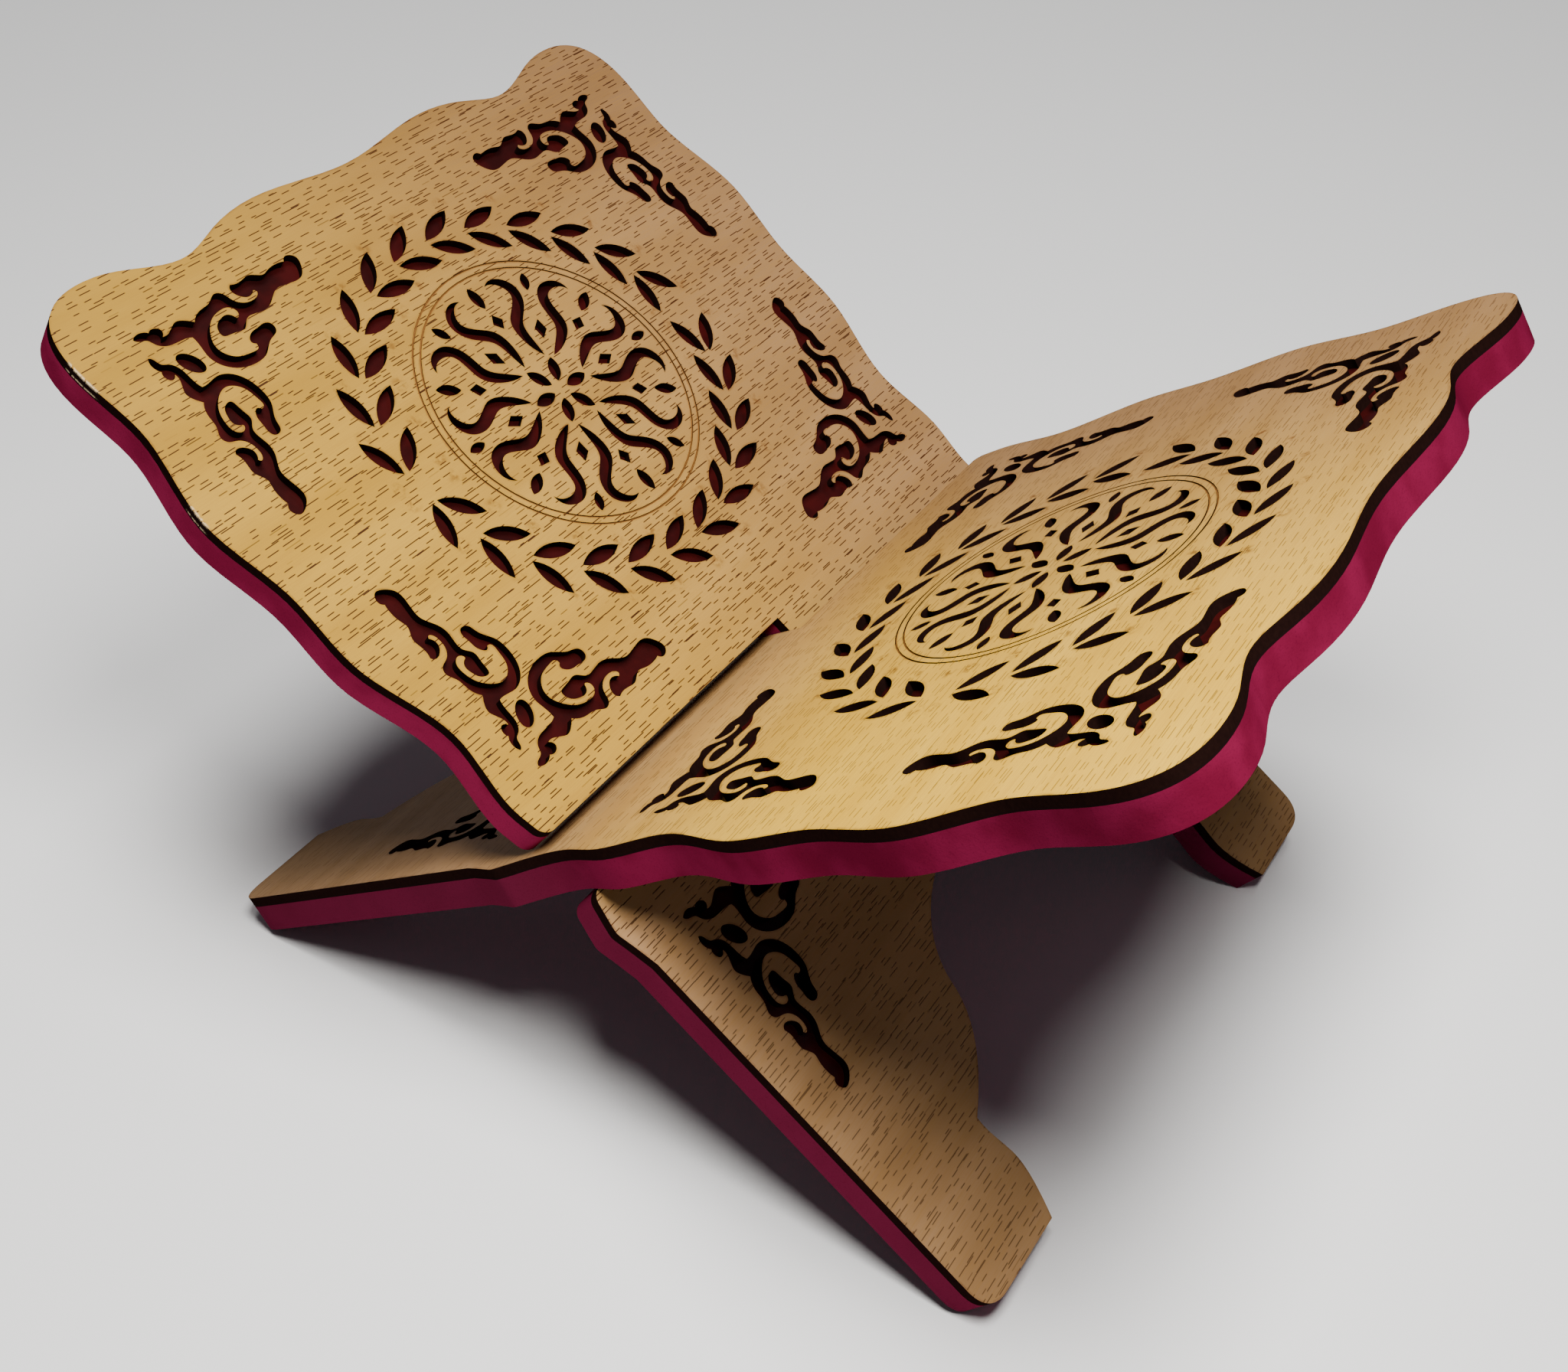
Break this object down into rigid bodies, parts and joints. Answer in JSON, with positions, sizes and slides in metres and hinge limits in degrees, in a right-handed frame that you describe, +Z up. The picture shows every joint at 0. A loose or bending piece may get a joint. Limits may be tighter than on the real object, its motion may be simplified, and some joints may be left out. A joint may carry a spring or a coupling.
{
  "type": "folding book stand",
  "caption": "X-shaped tabletop stand for a large book: two slotted boards crossed at mid-width, with fretwork faces, wavy book rests and arched legs.",
  "frame": {"origin": "on the floor, under the line where the two boards cross, at mid-width", "axes": "+Z up, Y along the crossing with the reader at -Y, X across the open book"},
  "size_m": [0.2888, 0.2084, 0.1872],
  "materials": {
    "core_paint": "satin plum paint on fibreboard",
    "backing_gloss": "dark red gloss sheet",
    "veneer": "satin beech veneer"
  },
  "bodies": {
    "left_board": {"left_core": "core_paint", "left_backing": "backing_gloss", "left_fret_face": "veneer"},
    "right_board": {"right_core": "core_paint", "right_backing": "backing_gloss", "right_fret_face": "veneer"}
  },
  "joints": [
    {"name": "crossing_fold", "type": "hinge", "parent": "left_board", "child": "right_board", "pos_m": [0, 0, 0.08452], "axis": [0, -1, 0], "range_deg": [0, 38]}
  ]
}
